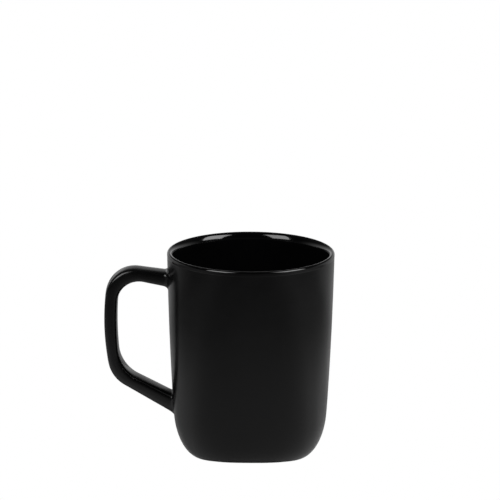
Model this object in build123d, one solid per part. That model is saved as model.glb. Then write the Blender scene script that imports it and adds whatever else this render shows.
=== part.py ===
from build123d import *
import os
from math import cos, radians, sin, sqrt

# A black glazed stoneware mug. Its wall is round at the rim and a soft square at the base.
# The origin is the centre of the foot, on the table; +Z is up and the handle is towards -X.
# All sizes are in millimetres.

# Cup, outside
mug_height = 101.0
rim_radius = 41.0
shoulder_level = 22.0          # where the wall starts to curve in to the base
shoulder_half_width = 38.0
wall_bow = 0.45                # how far the wall bulges from a straight taper
base_half_width = 26.5         # where that curve meets the foot
base_squareness = 2.0          # weight of a section's corners; a circle has CIRCLE
CIRCLE = sqrt(0.5)

# Foot ring
foot_height = 1.2
foot_half_width = 25.0
foot_ring_width = 4.0
foot_edge_radius = 0.4

# Wall, floor and lip
lip_thickness = 3.4
wall_thickness = 3.6           # at the shoulder; it thins evenly up to the lip
floor_level = 6.0
floor_half_width = 23.0
lip_level = mug_height - lip_thickness / 2

# Glaze coats
glaze = 0.4
gloss_band_level = 98.8        # the gloss glaze comes down the outside to here

# Handle, outside its glaze: each straight arm has an outer and an inner line in the XZ plane,
# from inside the cup's wall to the corner that meets the grip.
upper_outer = ((-38.0, 90.4), (-68.6, 94.2))
upper_inner = ((-38.0, 82.9), (-63.8, 88.3))
lower_outer = ((-37.0, 17.9), (-69.1, 37.2))
lower_inner = ((-37.0, 27.5), (-64.3, 41.5))
outer_bow = 3.3                # how far the grip's two faces bow away from the cup
inner_bow = 1.7
upper_outer_radius = 14.3
upper_inner_radius = 10.8
lower_outer_radius = 16.2
lower_inner_radius = 17.9
handle_width = 12.0
handle_edge_radius = 2.5

# Slip joints
slip_thickness = 0.5
bead = 1.2                     # how far the slip spreads round the handle's ends

corner_steps = 6
wall_steps = 2


def soft_square(half_width, squareness, level):
    """A level outline of four equal quarter curves, from a circle to a soft square."""
    corners = [(half_width, 0, level), (half_width, half_width, level), (0, half_width, level)]
    quarter = Bezier(*corners, weights=[1, squareness, 1])
    return Wire([quarter.rotate(Axis.Z, 90 * turn) for turn in range(4)])


def prism(half_width, bottom, top):
    """A straight block with the base's soft square outline."""
    outline = Face(soft_square(half_width, base_squareness, bottom))
    return extrude(outline, top - bottom, dir=(0, 0, 1))


def wall_half_width(level):
    share = (level - shoulder_level) / (lip_level - shoulder_level)
    taper = shoulder_half_width + (rim_radius - shoulder_half_width) * share
    return taper + 4 * wall_bow * share * (1 - share)


def wall_inset(level, rim_inset, shoulder_inset):
    share = (level - shoulder_level) / (lip_level - shoulder_level)
    return shoulder_inset + (rim_inset - shoulder_inset) * share


def vessel(rim_inset, shoulder_inset, base_level, base_width):
    """The solid inside one face of the wall, from its base up to the gloss band's level."""
    slope = (rim_radius - shoulder_half_width + 4 * wall_bow) / (lip_level - shoulder_level)
    start = shoulder_half_width - shoulder_inset
    vertex = start - slope * (shoulder_level - base_level)
    curve = []
    for step in range(corner_steps + 1):
        angle = radians(90 * (1 - step / corner_steps))
        width = vertex + (start - vertex) * (1 - sin(angle)) + (base_width - vertex) * (1 - cos(angle))
        level = base_level + (shoulder_level - base_level) * (1 - sin(angle))
        curve.append(soft_square(width, base_squareness, level))
    wall = []
    for step in range(wall_steps + 1):
        share = step / wall_steps
        level = shoulder_level + (gloss_band_level - shoulder_level) * share
        width = wall_half_width(level) - wall_inset(level, rim_inset, shoulder_inset)
        squareness = base_squareness + (CIRCLE - base_squareness) * share
        wall.append(soft_square(width, squareness, level))
    return Solid.make_loft(curve) + Solid.make_loft(wall)


def rim_ring(inset):
    """The top of the wall, above the gloss band's level, with its half-round lip."""
    outside = wall_half_width(gloss_band_level) - inset
    inside = outside + 2 * inset - wall_inset(gloss_band_level, lip_thickness, wall_thickness)
    lip_radius = lip_thickness / 2 - inset
    lip_middle = rim_radius - lip_thickness / 2
    foot_out = (outside, gloss_band_level)
    foot_in = (inside, gloss_band_level)
    top_out = (lip_middle + lip_radius, lip_level)
    top_in = (lip_middle - lip_radius, lip_level)
    edges = [
        Line(foot_in, foot_out),
        Line(foot_out, top_out),
        ThreePointArc(top_out, (lip_middle, lip_level + lip_radius), top_in),
        Line(top_in, foot_in),
    ]
    return revolve(Plane.XZ * make_face(edges), Axis.Z)


def bow_point(start, end, bow):
    """The middle of an arc from start to end that bows towards -X."""
    return ((start[0] + end[0]) / 2 - bow, (start[1] + end[1]) / 2)


def rounded_at(face, point, radius):
    corner = face.vertices().sort_by_distance(Vector(*point))[0]
    return fillet(corner, radius)


def handle_blank(inset):
    """The whole handle, its ends inside the cup's wall, inset on every face."""
    edges = [
        Line(*upper_outer),
        ThreePointArc(upper_outer[1], bow_point(upper_outer[1], lower_outer[1], outer_bow), lower_outer[1]),
        Line(lower_outer[1], lower_outer[0]),
        Line(lower_outer[0], lower_inner[0]),
        Line(*lower_inner),
        ThreePointArc(lower_inner[1], bow_point(lower_inner[1], upper_inner[1], inner_bow), upper_inner[1]),
        Line(upper_inner[1], upper_inner[0]),
        Line(upper_inner[0], upper_outer[0]),
    ]
    outline = make_face(edges)
    outline = rounded_at(outline, upper_outer[1], upper_outer_radius)
    outline = rounded_at(outline, lower_outer[1], lower_outer_radius)
    outline = rounded_at(outline, upper_inner[1], upper_inner_radius)
    outline = rounded_at(outline, lower_inner[1], lower_inner_radius)
    if inset:
        outline = offset(outline, -inset)
    half_width = handle_width / 2 - inset
    blank = extrude(Plane.XZ * outline, half_width, both=True)
    rims = blank.edges().filter_by(lambda edge: abs(abs(edge.center().Y) - half_width) < 0.001)
    return fillet(rims, handle_edge_radius - inset)


def height_on(line, x):
    (x1, z1), (x2, z2) = line
    return z1 + (z2 - z1) * (x - x1) / (x2 - x1)


def root_flare(line_a, line_b, grow):
    """The bead where an arm meets the cup: wide at the wall, and narrowing into the arm."""
    level = (line_a[0][1] + line_b[0][1]) / 2
    wall_x = -wall_half_width(level)
    sections = []
    for x, spread in ((wall_x + bead, bead), (wall_x, bead), (wall_x - 1.5 * bead, -0.5 * bead)):
        low, high = sorted((height_on(line_a, x), height_on(line_b, x)))
        more = spread + grow
        place = Plane(origin=(x, 0, (low + high) / 2), x_dir=(0, 1, 0), z_dir=(-1, 0, 0))
        shape = RectangleRounded(handle_width + 2 * more, high - low + 2 * more, handle_edge_radius + more)
        sections.append(place * shape)
    return loft(sections, ruled=True)


# Nested solids: each coat and the clay lies between two of them.
glaze_outside = vessel(0, 0, foot_height, base_half_width)
clay_outside = vessel(glaze, glaze, foot_height + glaze, base_half_width)
clay_inside = vessel(lip_thickness - glaze, wall_thickness - glaze, floor_level - glaze, floor_half_width)
glaze_inside = vessel(lip_thickness, wall_thickness, floor_level, floor_half_width)

foot_outline = prism(foot_half_width, 0, foot_height + 2 * glaze)
recess = prism(foot_half_width - foot_ring_width, 0, foot_height + glaze)
foot_ring = prism(foot_half_width, 0, foot_height + glaze) - recess
foot_ring = fillet(foot_ring.edges().filter_by(lambda edge: abs(edge.center().Z) < 0.001), foot_edge_radius)

cup_body = clay_outside - clay_inside + rim_ring(glaze) + foot_ring

base_glaze = prism(foot_half_width - foot_ring_width, foot_height, foot_height + glaze)

# The handle stands off the clay wall by the thickness of the slip that holds it.
stand_off = glaze - slip_thickness
slip_outside = vessel(stand_off, stand_off, foot_height + stand_off, base_half_width)
handle = handle_blank(glaze) - slip_outside
upper_slip_joint = root_flare(upper_outer, upper_inner, -glaze) - clay_outside - handle
lower_slip_joint = root_flare(lower_outer, lower_inner, -glaze) - clay_outside - handle

handle_space = handle_blank(0) + root_flare(upper_outer, upper_inner, 0)
handle_space = handle_space + root_flare(lower_outer, lower_inner, 0)
handle_glaze = handle_space - clay_outside - handle - upper_slip_joint - lower_slip_joint

outer_glaze = glaze_outside - clay_outside - foot_outline - handle_space
liner_glaze = clay_inside - glaze_inside + (rim_ring(0) - rim_ring(glaze))

nodes = {
    "cup_body": cup_body,
    "handle": handle,
    "upper_slip_joint": upper_slip_joint,
    "lower_slip_joint": lower_slip_joint,
    "liner_glaze": liner_glaze,
    "outer_glaze": outer_glaze,
    "handle_glaze": handle_glaze,
    "base_glaze": base_glaze,
}

os.makedirs("parts", exist_ok=True)
for name, shape in nodes.items():
    export_step(shape, f"parts/{name}.step")
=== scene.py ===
import math

import bmesh
import bpy
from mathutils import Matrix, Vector


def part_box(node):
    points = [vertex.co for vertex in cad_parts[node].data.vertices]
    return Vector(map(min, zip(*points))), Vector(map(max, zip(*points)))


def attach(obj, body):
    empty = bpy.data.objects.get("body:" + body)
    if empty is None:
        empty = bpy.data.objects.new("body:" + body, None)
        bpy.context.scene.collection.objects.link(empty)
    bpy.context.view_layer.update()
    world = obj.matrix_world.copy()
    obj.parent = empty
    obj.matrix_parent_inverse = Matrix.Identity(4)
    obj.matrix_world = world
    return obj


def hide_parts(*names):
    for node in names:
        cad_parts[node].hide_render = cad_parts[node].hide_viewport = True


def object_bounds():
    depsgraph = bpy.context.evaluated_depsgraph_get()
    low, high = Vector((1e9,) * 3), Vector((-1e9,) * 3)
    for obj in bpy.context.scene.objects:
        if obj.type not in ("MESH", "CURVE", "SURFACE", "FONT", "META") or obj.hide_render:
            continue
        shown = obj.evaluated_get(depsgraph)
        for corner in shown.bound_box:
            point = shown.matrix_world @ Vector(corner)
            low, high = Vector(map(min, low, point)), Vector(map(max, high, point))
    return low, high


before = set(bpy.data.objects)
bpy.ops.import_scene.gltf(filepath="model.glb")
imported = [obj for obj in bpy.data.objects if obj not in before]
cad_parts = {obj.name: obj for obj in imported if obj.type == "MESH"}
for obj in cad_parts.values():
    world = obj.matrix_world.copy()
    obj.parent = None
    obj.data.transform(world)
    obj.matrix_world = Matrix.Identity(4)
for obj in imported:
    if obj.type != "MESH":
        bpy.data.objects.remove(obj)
cad_low, cad_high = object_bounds()
bpy.ops.object.select_all(action="DESELECT")

mm = 0.001

# ---------------------------------------------------------------------------------------------
# Matt glaze on the outside of the cup.
# The cup is slip-cast stoneware, round at the lip and a soft square at the base. It is sprayed
# outside with a satin-matt black glaze, wiped back at the foot and stopped by the liner's band.
# ---------------------------------------------------------------------------------------------
mug_height = cad_high.z
rim_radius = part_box("liner_glaze")[1].x
lip_thickness = 3.4 * mm
lip_level = mug_height - lip_thickness / 2
band_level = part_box("outer_glaze")[1].z
shoulder_level = 22.0 * mm
shoulder_half_width = 38.0 * mm
wall_bow = 0.45 * mm
foot_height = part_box("outer_glaze")[0].z
foot_half_width = 25.0 * mm
foot_bare_height = 0.5 * mm
base_half_width = 26.5 * mm
coat = 0.3 * mm
wall_levels = [level * mm for level in (30, 40, 51, 62, 73, 84, 93)]

# A ring's corner weight says how square it is: the larger, the squarer.
BASE_CORNER = 2.0
ROUND_CORNER = math.sqrt(0.5)
RING_POINTS = 16
OUTSIDE_STEPS = 8
INSIDE_STEPS = 6


def start_mesh(name):
    """An empty mesh object at the origin, open for editing."""
    bpy.ops.object.select_all(action="DESELECT")
    bpy.ops.object.add(type="MESH", location=(0, 0, 0))
    made = bpy.context.object
    made.name = name
    made.data.name = name
    bpy.ops.object.mode_set(mode="EDIT")
    bpy.ops.mesh.select_mode(type="VERT")
    return made


def select_points(test):
    """Selects the edit mesh's points whose number and place pass the test, and what they span."""
    bpy.ops.mesh.select_all(action="DESELECT")
    cage = bmesh.from_edit_mesh(bpy.context.object.data)
    cage.verts.ensure_lookup_table()
    for number, point in enumerate(cage.verts):
        if test(number, point.co):
            point.select_set(True)
    cage.select_flush(True)
    bmesh.update_edit_mesh(bpy.context.object.data)


def point_count():
    """How many points the mesh in editing has."""
    return len(bmesh.from_edit_mesh(bpy.context.object.data).verts)


def bridge_last_two():
    """Joins the last two rings of points with a band of faces, point to point."""
    cage = bmesh.from_edit_mesh(bpy.context.object.data)
    cage.verts.ensure_lookup_table()
    near = len(cage.verts) - 2 * RING_POINTS
    far = near + RING_POINTS
    if near >= 0:
        for step in range(RING_POINTS):
            after = (step + 1) % RING_POINTS
            corners = (near + step, near + after, far + after, far + step)
            cage.faces.new([cage.verts[corner] for corner in corners])
        bmesh.update_edit_mesh(bpy.context.object.data)


def add_soft_ring(centre, half_sizes, corner_weight):
    """A level ring of cage points whose smoothed curve runs from an ellipse to a soft rectangle."""
    # The three shares are what the cage needs for its smoothed curve to meet the given half sizes.
    reach = math.sqrt(2) * (1 + 2 * corner_weight) / (2 + 2 * corner_weight)
    between = 1.0807 - 1.714 * (1.1785 - reach) ** 2
    on_axis = 1.5 - 0.462 * between
    at_corner = 1.5 * reach - 0.462 * between
    half_size, other_half_size = half_sizes
    bpy.ops.mesh.select_all(action="DESELECT")
    bpy.ops.mesh.primitive_circle_add(vertices=RING_POINTS, radius=half_size, location=centre)
    first = point_count() - RING_POINTS
    eighth = math.pi / 4

    def turn_left_over(place):
        angle = math.atan2(place.y - centre[1], place.x - centre[0]) / eighth
        return abs(angle - round(angle)), round(angle) % 2

    def push(share, wanted):
        select_points(lambda number, place: number >= first and wanted(*turn_left_over(place)))
        bpy.ops.transform.resize(value=(share, share, 1), center_override=centre)

    push(on_axis, lambda rest, odd: rest < 0.1 and not odd)
    push(at_corner, lambda rest, odd: rest < 0.1 and odd)
    push(between, lambda rest, odd: rest > 0.1)
    select_points(lambda number, place: number >= first)
    bpy.ops.transform.resize(value=(1, other_half_size / half_size, 1), center_override=centre)


def add_ring(level, half_width, corner_weight):
    """The cup's next level ring, joined to the one before it."""
    add_soft_ring((0, 0, level), (half_width, half_width), corner_weight)
    bridge_last_two()


def pinch_ring(first):
    """Draws the ring that starts with the given point together at its centre."""
    select_points(lambda number, place: first <= number < first + RING_POINTS)
    bpy.ops.mesh.merge(type="CENTER")


def finish_mesh(made, smooth_levels, thickness=0.0):
    """Faces the cage outwards, then subdivides and thickens it inwards, with modifiers applied."""
    bpy.ops.mesh.select_all(action="SELECT")
    bpy.ops.mesh.normals_make_consistent(inside=False)
    if not thickness and bmesh.from_edit_mesh(made.data).calc_volume(signed=True) < 0:
        bpy.ops.mesh.flip_normals()
    bpy.ops.object.mode_set(mode="OBJECT")
    smooth = made.modifiers.new("smooth", "SUBSURF")
    smooth.levels = smooth_levels
    smooth.render_levels = smooth_levels
    bpy.ops.object.modifier_apply(modifier="smooth")
    if thickness:
        wall = made.modifiers.new("wall", "SOLIDIFY")
        wall.thickness = thickness
        wall.offset = -1.0
        bpy.ops.object.modifier_apply(modifier="wall")
    bpy.ops.object.shade_smooth()


def wall_half_width(level):
    """The cup's half width at this height: a straight taper with a slight outward bow."""
    share = (level - shoulder_level) / (lip_level - shoulder_level)
    taper = shoulder_half_width + (rim_radius - shoulder_half_width) * share
    return taper + 4 * wall_bow * share * (1 - share)


def wall_corner_weight(level):
    """How square the cup is at this height, from a soft square at the shoulder to round above."""
    share = (level - shoulder_level) / (band_level - shoulder_level)
    return BASE_CORNER + (ROUND_CORNER - BASE_CORNER) * max(0, min(1, share))


def corner_curve(start_width, base_level, end_width, steps):
    """The curve from the foot or floor up to the wall, as (level, half width) cage points."""
    slope = (rim_radius - shoulder_half_width + 4 * wall_bow) / (lip_level - shoulder_level)
    vertex = start_width - slope * (shoulder_level - base_level)
    centre_width = start_width + end_width - vertex
    cage_share = 3 / (2 + math.cos(math.pi / 2 / steps))
    points = []
    for step in range(steps, -1, -1):
        angle = math.pi / 2 * step / steps
        width = vertex + (start_width - vertex) * (1 - math.sin(angle))
        width += (end_width - vertex) * (1 - math.cos(angle))
        level = base_level + (shoulder_level - base_level) * (1 - math.sin(angle))
        if 0 < step < steps:
            width = centre_width + (width - centre_width) * cage_share
            level = shoulder_level + (level - shoulder_level) * cage_share
        points.append((level, width))
    return points


outer_glaze = start_mesh("outer_glaze_coat")
for level in (foot_bare_height, foot_height - 0.1 * mm):
    add_ring(level, foot_half_width + 0.05 * mm, BASE_CORNER)
add_ring(foot_height, foot_half_width + 0.25 * mm, BASE_CORNER)
for level, width in corner_curve(shoulder_half_width, foot_height, base_half_width, OUTSIDE_STEPS):
    add_ring(level, width, BASE_CORNER)
for level in wall_levels:
    add_ring(level, wall_half_width(level), wall_corner_weight(level))
for level in (band_level - 0.05 * mm, band_level):
    add_ring(level, wall_half_width(level), ROUND_CORNER)
finish_mesh(outer_glaze, 3, coat)


def glaze_skin_group():
    """Fine tooth, slow waviness and pinholes of a fired glaze, all from the piece's own place."""
    group = bpy.data.node_groups.new("glaze_skin", "ShaderNodeTree")
    for name, kind, start in (
        ("Dark", "NodeSocketColor", (0.003, 0.003, 0.003, 1)),
        ("Light", "NodeSocketColor", (0.006, 0.006, 0.006, 1)),
        ("Tooth Scale", "NodeSocketFloat", 2200.0),
        ("Tooth", "NodeSocketFloat", 0.3),
        ("Wave Scale", "NodeSocketFloat", 60.0),
        ("Wave", "NodeSocketFloat", 1.0),
        ("Smoothest", "NodeSocketFloat", 0.4),
        ("Roughest", "NodeSocketFloat", 0.5),
    ):
        socket = group.interface.new_socket(name=name, in_out="INPUT", socket_type=kind)
        socket.default_value = start
    for name, kind in (
        ("Color", "NodeSocketColor"),
        ("Roughness", "NodeSocketFloat"),
        ("Height", "NodeSocketFloat"),
    ):
        group.interface.new_socket(name=name, in_out="OUTPUT", socket_type=kind)
    nodes, link = group.nodes, group.links.new
    given = nodes.new("NodeGroupInput")
    result = nodes.new("NodeGroupOutput")
    place = nodes.new("ShaderNodeTexCoord")

    tooth = nodes.new("ShaderNodeTexNoise")
    tooth.inputs["Detail"].default_value = 3
    link(place.outputs["Object"], tooth.inputs["Vector"])
    link(given.outputs["Tooth Scale"], tooth.inputs["Scale"])

    wave = nodes.new("ShaderNodeTexNoise")
    wave.inputs["Detail"].default_value = 1
    link(place.outputs["Object"], wave.inputs["Vector"])
    link(given.outputs["Wave Scale"], wave.inputs["Scale"])

    cloud = nodes.new("ShaderNodeTexNoise")
    cloud.inputs["Scale"].default_value = 140
    cloud.inputs["Detail"].default_value = 4
    link(place.outputs["Object"], cloud.inputs["Vector"])

    pits = nodes.new("ShaderNodeTexVoronoi")
    pits.inputs["Scale"].default_value = 210
    link(place.outputs["Object"], pits.inputs["Vector"])
    pit_depth = nodes.new("ShaderNodeMapRange")
    pit_depth.inputs["From Min"].default_value = 0.02
    pit_depth.inputs["From Max"].default_value = 0.045
    pit_depth.inputs["To Min"].default_value = -1
    pit_depth.inputs["To Max"].default_value = 0
    link(pits.outputs["Distance"], pit_depth.inputs["Value"])

    tooth_height = nodes.new("ShaderNodeMath")
    tooth_height.operation = "MULTIPLY"
    link(tooth.outputs["Fac"], tooth_height.inputs[0])
    link(given.outputs["Tooth"], tooth_height.inputs[1])
    wave_height = nodes.new("ShaderNodeMath")
    wave_height.operation = "MULTIPLY_ADD"
    link(wave.outputs["Fac"], wave_height.inputs[0])
    link(given.outputs["Wave"], wave_height.inputs[1])
    link(tooth_height.outputs[0], wave_height.inputs[2])
    height = nodes.new("ShaderNodeMath")
    height.operation = "ADD"
    link(wave_height.outputs[0], height.inputs[0])
    link(pit_depth.outputs[0], height.inputs[1])
    link(height.outputs[0], result.inputs["Height"])

    shade = nodes.new("ShaderNodeMix")
    shade.data_type = "RGBA"
    link(cloud.outputs["Fac"], shade.inputs["Factor"])
    link(given.outputs["Dark"], shade.inputs["A"])
    link(given.outputs["Light"], shade.inputs["B"])
    link(shade.outputs["Result"], result.inputs["Color"])

    gloss = nodes.new("ShaderNodeMapRange")
    gloss.inputs["From Min"].default_value = 0.3
    gloss.inputs["From Max"].default_value = 0.7
    link(cloud.outputs["Fac"], gloss.inputs["Value"])
    link(given.outputs["Smoothest"], gloss.inputs["To Min"])
    link(given.outputs["Roughest"], gloss.inputs["To Max"])
    link(gloss.outputs[0], result.inputs["Roughness"])
    return group


glaze_skin = glaze_skin_group()


def glaze_material(name, bump_depth, specular_level, **skin):
    """A fired glaze: one Principled shader with the shared skin, in this glaze's own values."""
    material = bpy.data.materials.new(name)
    material.use_nodes = True
    nodes, link = material.node_tree.nodes, material.node_tree.links.new
    shader = nodes["Principled BSDF"]
    shader.inputs["Specular IOR Level"].default_value = specular_level
    surface = nodes.new("ShaderNodeGroup")
    surface.node_tree = glaze_skin
    for socket, value in skin.items():
        surface.inputs[socket.replace("_", " ")].default_value = value
    bump = nodes.new("ShaderNodeBump")
    bump.inputs["Distance"].default_value = bump_depth
    link(surface.outputs["Color"], shader.inputs["Base Color"])
    link(surface.outputs["Roughness"], shader.inputs["Roughness"])
    link(surface.outputs["Height"], bump.inputs["Height"])
    link(bump.outputs["Normal"], shader.inputs["Normal"])
    return material


matt_glaze = glaze_material(
    "matt_black_glaze",
    0.010 * mm,
    0.35,
    Dark=(0.0024, 0.0024, 0.0025, 1),
    Light=(0.0038, 0.0038, 0.0039, 1),
    Tooth_Scale=2600,
    Tooth=0.35,
    Wave_Scale=45,
    Wave=4.0,
    Smoothest=0.20,
    Roughest=0.25,
)
outer_glaze.data.materials.append(matt_glaze)
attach(outer_glaze, "root")
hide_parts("outer_glaze")

# ---------------------------------------------------------------------------------------------
# Gloss liner.
# A food-safe gloss black glaze is poured in, swilled and poured out, and the lip is dipped, so
# the same coat covers the floor, the inner wall and the lip, and ends in a band just outside it.
# ---------------------------------------------------------------------------------------------
wall_thickness = 3.6 * mm
floor_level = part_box("liner_glaze")[0].z + 0.4 * mm
floor_half_width = 23.0 * mm
band_lap = 0.025 * mm
lip_round = 1.0 * mm
lip_ease = 4.4 * mm
lip_middle = rim_radius - lip_round


def inner_half_width(level):
    """The inside's half width, with the wall thinning a little towards the lip."""
    share = (level - shoulder_level) / (lip_level - shoulder_level)
    return wall_half_width(level) - wall_thickness - (lip_thickness - wall_thickness) * share


liner = start_mesh("liner_glaze_coat")
add_ring(band_level - 0.12 * mm, rim_radius - 0.04 * mm, ROUND_CORNER)
add_ring(band_level - 0.08 * mm, rim_radius + band_lap, ROUND_CORNER)
add_ring(band_level + 0.25 * mm, rim_radius + band_lap, ROUND_CORNER)

# The lip is a quarter circle outside and a quarter of a taller ellipse inside.
LIP_STEPS = 5
lip_cage = 3 / (2 + math.cos(math.pi / 2 / LIP_STEPS))
lip_run = lip_middle - inner_half_width(mug_height - lip_ease)
for step in range(LIP_STEPS):
    angle = math.pi / 2 * step / LIP_STEPS
    out, up = lip_cage * math.cos(angle), lip_cage * math.sin(angle)
    add_ring(mug_height - lip_round + lip_round * up, lip_middle + lip_round * out, ROUND_CORNER)
for step in range(LIP_STEPS + 1):
    angle = math.pi / 2 * (1 - step / LIP_STEPS)
    into, up = lip_cage * math.cos(angle), lip_cage * math.sin(angle)
    add_ring(mug_height - lip_ease + lip_ease * up, lip_middle - lip_run * into, ROUND_CORNER)
for level in reversed(wall_levels):
    add_ring(level, inner_half_width(level), wall_corner_weight(level))
inner_shoulder = shoulder_half_width - wall_thickness
inner_corner = corner_curve(inner_shoulder, floor_level, floor_half_width, INSIDE_STEPS)
for level, width in reversed(inner_corner):
    add_ring(level, width, BASE_CORNER)
for share in (0.75, 0.45, 0.15):
    add_ring(floor_level, floor_half_width * share, BASE_CORNER)
pinch_ring(point_count() - RING_POINTS)
finish_mesh(liner, 3, coat)

gloss_glaze = glaze_material(
    "gloss_black_glaze",
    0.006 * mm,
    0.5,
    Dark=(0.0012, 0.0012, 0.0013, 1),
    Light=(0.0020, 0.0020, 0.0021, 1),
    Tooth_Scale=1500,
    Tooth=0.05,
    Wave_Scale=60,
    Wave=3.0,
    Smoothest=0.07,
    Roughest=0.12,
)
liner.data.materials.append(gloss_glaze)
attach(liner, "root")
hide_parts("liner_glaze")

# ---------------------------------------------------------------------------------------------
# Base glaze.
# The shallow recess under the base keeps its matt glaze inside the bare ring that the mug was
# fired on, with a soft edge where it pulls back from the ring.
# ---------------------------------------------------------------------------------------------
recess_low, recess_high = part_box("base_glaze")
recess_half_width = recess_high.x - 0.1 * mm


def cap_ring(first):
    """Closes the ring that starts with the given point with one flat face."""
    select_points(lambda number, place: first <= number < first + RING_POINTS)
    bpy.ops.mesh.edge_face_add()


base_glaze = start_mesh("base_glaze_coat")
for level in (recess_high.z, recess_high.z - 0.1 * mm):
    add_ring(level, recess_half_width, BASE_CORNER)
add_ring(recess_low.z + 0.05 * mm, recess_high.x - 0.5 * mm, BASE_CORNER)
for share in (0.93, 0.7, 0.4, 0.15):
    add_ring(recess_low.z, recess_high.x * share, BASE_CORNER)
pinch_ring(point_count() - RING_POINTS)
cap_ring(0)
finish_mesh(base_glaze, 2)
base_glaze.data.materials.append(matt_glaze)
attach(base_glaze, "root")
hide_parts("base_glaze")

# ---------------------------------------------------------------------------------------------
# Handle glaze.
# The handle is cast in its own mould as a flat strap with rounded edges, stuck to the cup with
# slip and sponged to a small hollow at each end. Its glaze fires glossier than the cup's.
# ---------------------------------------------------------------------------------------------
# The outline's points are (x, z) in millimetres; each line runs from the cup to where it would
# meet the chord of the grip.
upper_outer = ((-38.0, 90.4), (-68.6, 94.2))
upper_inner = ((-38.0, 82.9), (-63.8, 88.3))
lower_outer = ((-37.0, 17.9), (-69.1, 37.2))
lower_inner = ((-37.0, 27.5), (-64.3, 41.5))
outer_side = {"bow": 3.3, "upper_radius": 14.3, "lower_radius": 16.2}
inner_side = {"bow": 1.7, "upper_radius": 10.8, "lower_radius": 17.9}
handle_width = 12.0
fillet_radius = 1.7
STRAP_CORNER = 2.3


def side_outline(upper, lower, bow, upper_radius, lower_radius):
    """One face of the handle from its upper end to its lower end, as cage points in millimetres."""
    top, bottom = Vector(upper[1]), Vector(lower[1])
    chord = (bottom - top).length
    grip_radius = (chord * chord / 4 + bow * bow) / (2 * bow)
    grip_centre = (top + bottom) / 2 + Vector((grip_radius - bow, 0))

    def corner(line, radius, side):
        start, vertex = Vector(line[0]), Vector(line[1])
        along = (vertex - start).normalized()
        inward = Vector((-along.y, along.x)) * side
        offset_start = start + inward * radius - grip_centre
        half = offset_start.dot(along)
        gone = math.sqrt(half * half - offset_start.length_squared + (grip_radius - radius) ** 2) - half
        centre = start + inward * radius + along * gone
        on_grip = grip_centre + (centre - grip_centre).normalized() * grip_radius
        return start + along * gone, centre, on_grip

    def arc(centre, start, end, steps):
        radius = (start - centre).length
        first = math.atan2(start.y - centre.y, start.x - centre.x)
        turn = math.atan2(end.y - centre.y, end.x - centre.x) - first
        turn = (turn + math.pi) % (2 * math.pi) - math.pi
        cage = radius * 3 / (2 + math.cos(turn / steps))
        angles = [first + turn * (step + 0.5) / steps for step in range(steps)]
        return [centre + Vector((math.cos(angle), math.sin(angle))) * cage for angle in angles]

    line_end, upper_centre, grip_start = corner(upper, upper_radius, 1)
    line_start, lower_centre, grip_end = corner(lower, lower_radius, -1)
    first, last = Vector(upper[0]), Vector(lower[0])
    upper_line = [first.lerp(line_end, share) for share in (0.3, 0.55, 0.8, 0.97)]
    lower_line = [line_start.lerp(last, share) for share in (0.03, 0.2, 0.4, 0.6, 0.75)]
    return (
        upper_line
        + arc(upper_centre, line_end, grip_start, 7)
        + arc(grip_centre, grip_start, grip_end, 7)
        + arc(lower_centre, grip_end, line_start, 4)
        + lower_line
    )


def add_strap_section(outer_point, inner_point, spread):
    """One ring of the strap between a point of its outer face and one of its inner face."""
    middle = (outer_point + inner_point) / 2
    across = outer_point - inner_point
    place = (middle.x * mm, 0, middle.y * mm)
    half_sizes = ((across.length / 2 + spread) * mm, (handle_width / 2 + spread) * mm)
    add_soft_ring(place, half_sizes, STRAP_CORNER)
    tilt = math.atan2(across.y, across.x)
    bpy.ops.transform.rotate(value=tilt, orient_axis="Y", center_override=place)
    bridge_last_two()


outer_points = side_outline(upper_outer, lower_outer, **outer_side)
inner_points = side_outline(upper_inner, lower_inner, **inner_side)
wall_gap = (-0.35, -0.05, 0.12, 0.48, 1.0, 1.75)   # each joint ring's stand-off, inside first
seated_rings = 4


def fillet_spread(gap):
    """How far a round fillet stands out from the strap at this stand-off from the wall."""
    short = max(0.0, 1 - max(gap, 0.0) / fillet_radius)
    return fillet_radius * (1 - math.sqrt(1 - short * short))


def end_sections(outer_line, inner_line):
    """One joint's rings, from inside the wall outwards: outer point, inner point and spread."""
    (outer_x, outer_z), (outer_far_x, outer_far_z) = outer_line
    (inner_x, inner_z), (inner_far_x, inner_far_z) = inner_line
    wall_x = -wall_half_width((outer_z + inner_z) / 2 * mm) / mm
    rings = []
    for gap in wall_gap:
        x = wall_x - gap
        outer_z_here = outer_z + (outer_far_z - outer_z) * (x - outer_x) / (outer_far_x - outer_x)
        inner_z_here = inner_z + (inner_far_z - inner_z) * (x - inner_x) / (inner_far_x - inner_x)
        rings.append((Vector((x, outer_z_here)), Vector((x, inner_z_here)), fillet_spread(gap)))
    return rings


def strap(name, inset, flare):
    """The whole handle with its ends inside the wall, inset on every face; flare 1 has fillets."""
    made = start_mesh(name)
    for outer_point, inner_point, spread in end_sections(upper_outer, upper_inner):
        add_strap_section(outer_point, inner_point, flare * spread - inset)
    for outer_point, inner_point in zip(outer_points, inner_points):
        add_strap_section(outer_point, inner_point, -inset)
    for outer_point, inner_point, spread in reversed(end_sections(lower_outer, lower_inner)):
        add_strap_section(outer_point, inner_point, flare * spread - inset)
    return made


def close_ends():
    """Closes both ends of a strap or bead, which lie inside the wall or the handle."""
    last = point_count() - RING_POINTS
    for first in (0, last):
        cap_ring(first)


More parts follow.
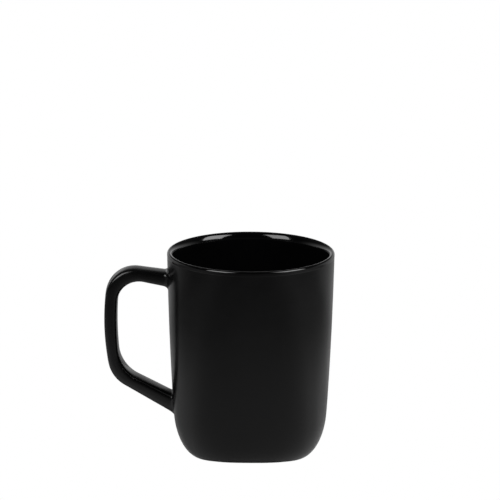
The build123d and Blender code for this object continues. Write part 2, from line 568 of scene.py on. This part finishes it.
def seat_on_wall(made, ring_gaps):
    """Moves the numbered rings along X until each stands its own gap off the cup's glaze."""
    bpy.ops.object.mode_set(mode="OBJECT")
    for number, gap in ring_gaps:
        group = made.vertex_groups.new(name=f"ring_{number}")
        group.add(range(number * RING_POINTS, (number + 1) * RING_POINTS), 1.0, "REPLACE")
        seat = made.modifiers.new("seat", "SHRINKWRAP")
        seat.target = outer_glaze
        seat.wrap_method = "PROJECT"
        seat.use_project_x = True
        seat.use_negative_direction = True
        seat.use_positive_direction = True
        seat.offset = gap * mm
        seat.vertex_group = group.name
        bpy.ops.object.modifier_apply(modifier="seat")
    made.vertex_groups.clear()
    bpy.ops.object.mode_set(mode="EDIT")


handle_glaze = strap("handle_glaze_coat", 0.0, 1)
last_ring = point_count() // RING_POINTS - 1
seated = list(enumerate(wall_gap[:seated_rings]))
seat_on_wall(handle_glaze, seated + [(last_ring - number, gap) for number, gap in seated])
close_ends()
finish_mesh(handle_glaze, 2)

handle_gloss = glaze_material(
    "handle_black_glaze",
    0.008 * mm,
    0.40,
    Dark=(0.0018, 0.0018, 0.0019, 1),
    Light=(0.0030, 0.0030, 0.0031, 1),
    Tooth_Scale=2000,
    Tooth=0.08,
    Wave_Scale=90,
    Wave=2.0,
    Smoothest=0.18,
    Roughest=0.24,
)
handle_glaze.data.materials.append(handle_gloss)
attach(handle_glaze, "root")
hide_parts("handle_glaze")

# ---------------------------------------------------------------------------------------------
# Clay cup.
# The cup is slip-cast in buff stoneware. Its clay shows only on the foot ring, which is wiped
# bare before firing and ground smooth after it, so that it doesn't scratch a table.
# ---------------------------------------------------------------------------------------------
foot_ring_width = 4.0 * mm
clay_inset = coat + 0.05 * mm
foot_inside = foot_half_width - foot_ring_width

cup_clay = start_mesh("cup_clay")
floor_clay = floor_level - clay_inset
for share in (0.15, 0.5, 0.8):
    add_ring(floor_clay, floor_half_width * share, BASE_CORNER)
clay_inside = corner_curve(inner_shoulder + clay_inset, floor_clay, floor_half_width, INSIDE_STEPS)
for level, width in clay_inside:
    add_ring(level, width, BASE_CORNER)
for level in (40, 62, 84, 94):
    add_ring(level * mm, inner_half_width(level * mm) + clay_inset, wall_corner_weight(level * mm))
LIP_TURNS = 4
lip_half = (rim_radius - inner_half_width(lip_level)) / 2 - 2 * clay_inset
for turn in range(LIP_TURNS + 1):
    angle = math.pi * turn / LIP_TURNS
    level = lip_level - 2 * mm + lip_half * math.sin(angle)
    add_ring(level, rim_radius - lip_thickness / 2 - lip_half * math.cos(angle), ROUND_CORNER)
for level in reversed(wall_levels[:-1]):
    add_ring(level, wall_half_width(level) - clay_inset, wall_corner_weight(level))
recess_clay = foot_height + clay_inset
clay_shoulder = shoulder_half_width - clay_inset
clay_outside = corner_curve(clay_shoulder, recess_clay, base_half_width, OUTSIDE_STEPS)
for level, width in reversed(clay_outside):
    add_ring(level, width, BASE_CORNER)
foot_ring = (
    (recess_clay, foot_half_width),
    (foot_height, foot_half_width),
    (0.45 * mm, foot_half_width),
    (0.06 * mm, foot_half_width - 0.06 * mm),
    (0.0, foot_half_width - 0.6 * mm),
    (0.0, foot_half_width - 1.4 * mm),
    (0.0, foot_inside + 1.0 * mm),
    (0.0, foot_inside + 0.5 * mm),
    (0.06 * mm, foot_inside + 0.06 * mm),
    (0.45 * mm, foot_inside),
    (recess_clay, foot_inside),
)
for level, width in foot_ring:
    add_ring(level, width, BASE_CORNER)
for share in (0.8, 0.4, 0.15):
    add_ring(recess_clay, foot_inside * share, BASE_CORNER)
pinch_ring(point_count() - RING_POINTS)
pinch_ring(0)
finish_mesh(cup_clay, 2)

clay = bpy.data.materials.new("bare_stoneware")
clay.use_nodes = True
nodes, link = clay.node_tree.nodes, clay.node_tree.links.new
place = nodes.new("ShaderNodeTexCoord")
speck = nodes.new("ShaderNodeTexNoise")
speck.inputs["Scale"].default_value = 1400
speck.inputs["Detail"].default_value = 5
tone = nodes.new("ShaderNodeValToRGB")
tone.color_ramp.elements[0].position = 0.38
tone.color_ramp.elements[0].color = (0.24, 0.19, 0.15, 1)
tone.color_ramp.elements[1].position = 0.60
tone.color_ramp.elements[1].color = (0.46, 0.40, 0.33, 1)
grain = nodes.new("ShaderNodeBump")
grain.inputs["Distance"].default_value = 0.03 * mm
link(place.outputs["Object"], speck.inputs["Vector"])
link(speck.outputs["Fac"], tone.inputs["Fac"])
link(speck.outputs["Fac"], grain.inputs["Height"])
link(tone.outputs["Color"], nodes["Principled BSDF"].inputs["Base Color"])
link(grain.outputs["Normal"], nodes["Principled BSDF"].inputs["Normal"])
nodes["Principled BSDF"].inputs["Roughness"].default_value = 0.82
cup_clay.data.materials.append(clay)
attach(cup_clay, "root")
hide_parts("cup_body")

# ---------------------------------------------------------------------------------------------
# Clay of the handle.
# The handle's stoneware is cast in its own mould and lies wholly under its glaze, with its ends
# cut to the curve of the cup's wall.
# ---------------------------------------------------------------------------------------------
handle_clay = strap("handle_clay", clay_inset / mm, 0)
close_ends()
finish_mesh(handle_clay, 2)
handle_clay.data.materials.append(clay)
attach(handle_clay, "root")
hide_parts("handle")

# ---------------------------------------------------------------------------------------------
# Slip joints.
# Each end of the handle is scored and stuck on with liquid clay, which is pressed out into a
# small bead round the joint and sponged to a hollow under the glaze.
# ---------------------------------------------------------------------------------------------
slip_inset = 0.15
for node, outer_line, inner_line in (
    ("upper_slip_joint", upper_outer, upper_inner),
    ("lower_slip_joint", lower_outer, lower_inner),
):
    slip = start_mesh(node + "_bead")
    for outer_point, inner_point, spread in end_sections(outer_line, inner_line):
        add_strap_section(outer_point, inner_point, spread - slip_inset)
    seat_on_wall(slip, [(number, gap - 0.1) for number, gap in seated])
    close_ends()
    finish_mesh(slip, 2)
    slip.data.materials.append(clay)
    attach(slip, "root")
    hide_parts(node)

# ---------------------------------------------------------------------------------------------
# Floor, studio light and camera.
# ---------------------------------------------------------------------------------------------
bpy.ops.object.select_all(action="DESELECT")
floor_drop = 0.02 * mm
bpy.ops.mesh.primitive_plane_add(size=6, location=(0, 0, -floor_drop))
floor = bpy.context.object
floor.name = "studio_floor"
paper = bpy.data.materials.new("white_paper")
paper.use_nodes = True
nodes, link = paper.node_tree.nodes, paper.node_tree.links.new
nodes["Principled BSDF"].inputs["Roughness"].default_value = 1.0
nodes["Principled BSDF"].inputs["Specular IOR Level"].default_value = 0.0


def graded(nodes, link, source, low, high, at_low, at_high):
    """A smooth change from at_low to at_high as the source goes from low to high."""
    step = nodes.new("ShaderNodeMapRange")
    step.interpolation_type = "SMOOTHSTEP"
    step.inputs["From Min"].default_value = low
    step.inputs["From Max"].default_value = high
    step.inputs["To Min"].default_value = at_low
    step.inputs["To Max"].default_value = at_high
    link(source, step.inputs["Value"])
    return step.outputs["Result"]


def product(nodes, link, first, second):
    made = nodes.new("ShaderNodeMath")
    made.operation = "MULTIPLY"
    made.use_clamp = True
    link(first, made.inputs[0])
    link(second, made.inputs[1])
    return made.outputs[0]


# The floor's colour for bounce light and reflections is darker in front of the mug and white behind
# it, with painted light that falls off with distance and painted shadow of the mug behind it and of
# its handle at its side, so what it sends back to the mug is graded.
place = nodes.new("ShaderNodeTexCoord")
split = nodes.new("ShaderNodeSeparateXYZ")
away = nodes.new("ShaderNodeVectorMath")
away.operation = "LENGTH"
brighter = nodes.new("ShaderNodeMath")
brighter.operation = "MAXIMUM"
turned = nodes.new("ShaderNodeVectorMath")
turned.operation = "NORMALIZE"
bearing = nodes.new("ShaderNodeSeparateXYZ")
link(place.outputs["Object"], split.inputs["Vector"])
link(place.outputs["Object"], away.inputs[0])
link(place.outputs["Object"], turned.inputs[0])
link(turned.outputs["Vector"], bearing.inputs["Vector"])
beside = graded(nodes, link, bearing.outputs["Y"], -1.0, -0.45, 0.21, 0.60)
# Painted light: the floor's colour is brighter near the mug and falls off with distance.
near = graded(nodes, link, away.outputs["Value"], 0.03, 0.40, 2.1, 0.46)
# Painted shadow: the floor's colour darkens behind the mug and on the handle's side.
painted_mug_shadow = graded(nodes, link, bearing.outputs["Y"], -0.2, 0.7, 1.0, 0.62)
painted_handle_shadow = graded(nodes, link, bearing.outputs["X"], -1.0, 0.6, 0.82, 1.0)
far_behind = graded(nodes, link, split.outputs["Y"], 0.08, 0.28, 0.0, 0.62)
lit = product(nodes, link, product(nodes, link, beside, near), product(nodes, link, painted_mug_shadow, painted_handle_shadow))
link(lit, brighter.inputs[0])
link(far_behind, brighter.inputs[1])
link(brighter.outputs[0], nodes["Principled BSDF"].inputs["Base Color"])
seen = nodes.new("ShaderNodeLightPath")
glow = nodes.new("ShaderNodeEmission")
glow.inputs["Strength"].default_value = 1.0
blend = nodes.new("ShaderNodeMixShader")
link(seen.outputs["Is Camera Ray"], blend.inputs["Fac"])
link(nodes["Principled BSDF"].outputs["BSDF"], blend.inputs[1])
link(glow.outputs["Emission"], blend.inputs[2])
link(blend.outputs["Shader"], nodes["Material Output"].inputs["Surface"])
floor.data.materials.append(paper)

world = bpy.data.worlds.new("studio")
bpy.context.scene.world = world
world.use_nodes = True
nodes, link = world.node_tree.nodes, world.node_tree.links.new
backdrop = nodes["Background"]
backdrop.inputs["Color"].default_value = (1, 1, 1, 1)
room = nodes.new("ShaderNodeBackground")
direction = nodes.new("ShaderNodeTexCoord")
split = nodes.new("ShaderNodeSeparateXYZ")
seen = nodes.new("ShaderNodeLightPath")
blend = nodes.new("ShaderNodeMixShader")
link(direction.outputs["Generated"], split.inputs["Vector"])
behind = graded(nodes, link, split.outputs["Y"], -0.25, 0.6, 0.06, 1.0)
low_down = graded(nodes, link, split.outputs["Z"], 0.0, 0.45, 1.0, 0.06)
link(product(nodes, link, behind, low_down), room.inputs["Strength"])
link(seen.outputs["Is Camera Ray"], blend.inputs["Fac"])
link(room.outputs["Background"], blend.inputs[1])
link(backdrop.outputs["Background"], blend.inputs[2])
link(blend.outputs["Shader"], nodes["World Output"].inputs["Surface"])


def softbox(name, azimuth, elevation, distance, width, height, power):
    """A soft light that faces the mug; azimuth 0 is in front, towards -Y, and 90 is at +X."""
    light = bpy.data.lights.new(name, "AREA")
    light.shape = "RECTANGLE"
    light.size = width
    light.size_y = height
    light.energy = power
    box = bpy.data.objects.new(name, light)
    bpy.context.scene.collection.objects.link(box)
    around, up = math.radians(azimuth), math.radians(elevation)
    flat = math.cos(up)
    out = Vector((math.sin(around) * flat, -math.cos(around) * flat, math.sin(up)))
    aim = Vector((0, 0, mug_height / 2))
    box.location = aim + out * distance
    box.rotation_euler = out.to_track_quat("Z", "Y").to_euler()
    box.visible_camera = False
    return box


softbox("softbox_left", azimuth=-48, elevation=38, distance=1.4, width=0.70, height=0.95, power=11)
softbox("softbox_right", azimuth=63, elevation=38, distance=1.4, width=0.80, height=0.95, power=14.5)

camera_distance = 1.0
camera_height_angle = math.radians(14.2)
camera_roll = math.radians(0.2645)
camera_data = bpy.data.cameras.new("camera")
camera = bpy.data.objects.new("camera", camera_data)
bpy.context.scene.collection.objects.link(camera)
camera_data.sensor_width = 36
camera_data.lens = 147.0
camera_data.clip_start = 0.05
target = Vector((0, 0, mug_height))
toward = Vector((0, math.cos(camera_height_angle), -math.sin(camera_height_angle)))
camera.location = target - toward * camera_distance
look = toward.to_track_quat("-Z", "Y").to_matrix().to_4x4()
camera.rotation_euler = look.to_euler()
camera.rotation_euler.rotate_axis("Z", camera_roll)
camera_data.shift_x = -0.0017
camera_data.shift_y = 0.002
bpy.context.scene.camera = camera
bpy.context.scene.view_settings.view_transform = "Standard"
